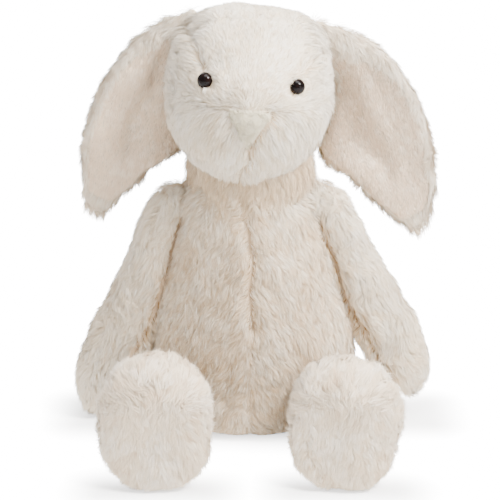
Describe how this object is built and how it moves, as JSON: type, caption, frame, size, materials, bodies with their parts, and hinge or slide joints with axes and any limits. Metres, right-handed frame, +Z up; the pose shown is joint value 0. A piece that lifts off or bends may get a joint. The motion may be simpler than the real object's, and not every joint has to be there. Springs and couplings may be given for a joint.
{
  "type": "stuffed bunny rabbit",
  "caption": "Soft plush rabbit that sits up by itself, with long hanging ears, loose arms, forward feet and glossy eyes.",
  "frame": {"origin": "centre of the flat seat panel's underside, on which the toy sits", "axes": "+Z up, -Y the way the face and feet point, +X the toy's own left side"},
  "size_m": [0.2362, 0.2128, 0.2714],
  "materials": {
    "face_pile": "matte",
    "cream_pile": "matte",
    "sole_pile": "matte",
    "ear_velour": "matte",
    "nose_cloth": "matte",
    "wadding": "matte",
    "pellet_cloth": "matte",
    "eye": "gloss",
    "washer": "matte"
  },
  "bodies": {
    "torso": {"body_front_left": "cream_pile", "body_front_right": "cream_pile", "body_back_left": "cream_pile", "body_back_right": "cream_pile", "seat_panel": "cream_pile", "body_stuffing": "wadding", "pellet_bag": "pellet_cloth", "tail_cover": "cream_pile", "tail_stuffing": "wadding"},
    "neck": {"neck_stuffing": "wadding"},
    "head": {"head_gusset": "face_pile", "left_cheek_panel": "face_pile", "right_cheek_panel": "face_pile", "nose_patch": "nose_cloth", "head_stuffing": "wadding", "left_eye": "eye", "right_eye": "eye", "left_eye_washer": "washer", "right_eye_washer": "washer"},
    "left_ear": {"left_ear_back": "cream_pile", "left_ear_lining": "ear_velour"},
    "left_arm": {"left_arm_outer": "cream_pile", "left_arm_inner": "cream_pile", "left_arm_stuffing": "wadding"},
    "left_leg": {"left_leg_outer": "cream_pile", "left_leg_inner": "cream_pile", "left_sole_pad": "sole_pile", "left_leg_stuffing": "wadding"},
    "right_ear": {"right_ear_back": "cream_pile", "right_ear_lining": "ear_velour"},
    "right_arm": {"right_arm_outer": "cream_pile", "right_arm_inner": "cream_pile", "right_arm_stuffing": "wadding"},
    "right_leg": {"right_leg_outer": "cream_pile", "right_leg_inner": "cream_pile", "right_sole_pad": "sole_pile", "right_leg_stuffing": "wadding"}
  },
  "joints": [
    {"name": "neck_turn", "type": "hinge", "parent": "torso", "child": "neck", "pos_m": [0, 0, 0.16], "axis": [0, 0, 1], "range_deg": [-12, 12]},
    {"name": "neck_nod", "type": "hinge", "parent": "neck", "child": "head", "pos_m": [0, 0, 0.16], "axis": [1, 0, 0], "range_deg": [-10, 18]},
    {"name": "left_ear_lift", "type": "hinge", "parent": "head", "child": "left_ear", "pos_m": [0.0501, 0.012, 0.25659], "axis": [0, -1, 0], "range_deg": [0, 110]},
    {"name": "right_ear_lift", "type": "hinge", "parent": "head", "child": "right_ear", "pos_m": [-0.04466, 0.012, 0.26322], "axis": [0, 1, 0], "range_deg": [0, 110]},
    {"name": "left_arm_swing", "type": "hinge", "parent": "torso", "child": "left_arm", "pos_m": [0.048, 0, 0.146], "axis": [-0.9404, -0.3401, 0], "range_deg": [-15, 50]},
    {"name": "right_arm_swing", "type": "hinge", "parent": "torso", "child": "right_arm", "pos_m": [-0.048, 0, 0.146], "axis": [-0.9404, 0.3401, 0], "range_deg": [-15, 50]},
    {"name": "left_leg_swing", "type": "hinge", "parent": "torso", "child": "left_leg", "pos_m": [0.046, -0.062, 0.03], "axis": [-1, 0, 0], "range_deg": [-60, 35]},
    {"name": "right_leg_swing", "type": "hinge", "parent": "torso", "child": "right_leg", "pos_m": [-0.046, -0.062, 0.03], "axis": [-1, 0, 0], "range_deg": [-60, 35]}
  ]
}
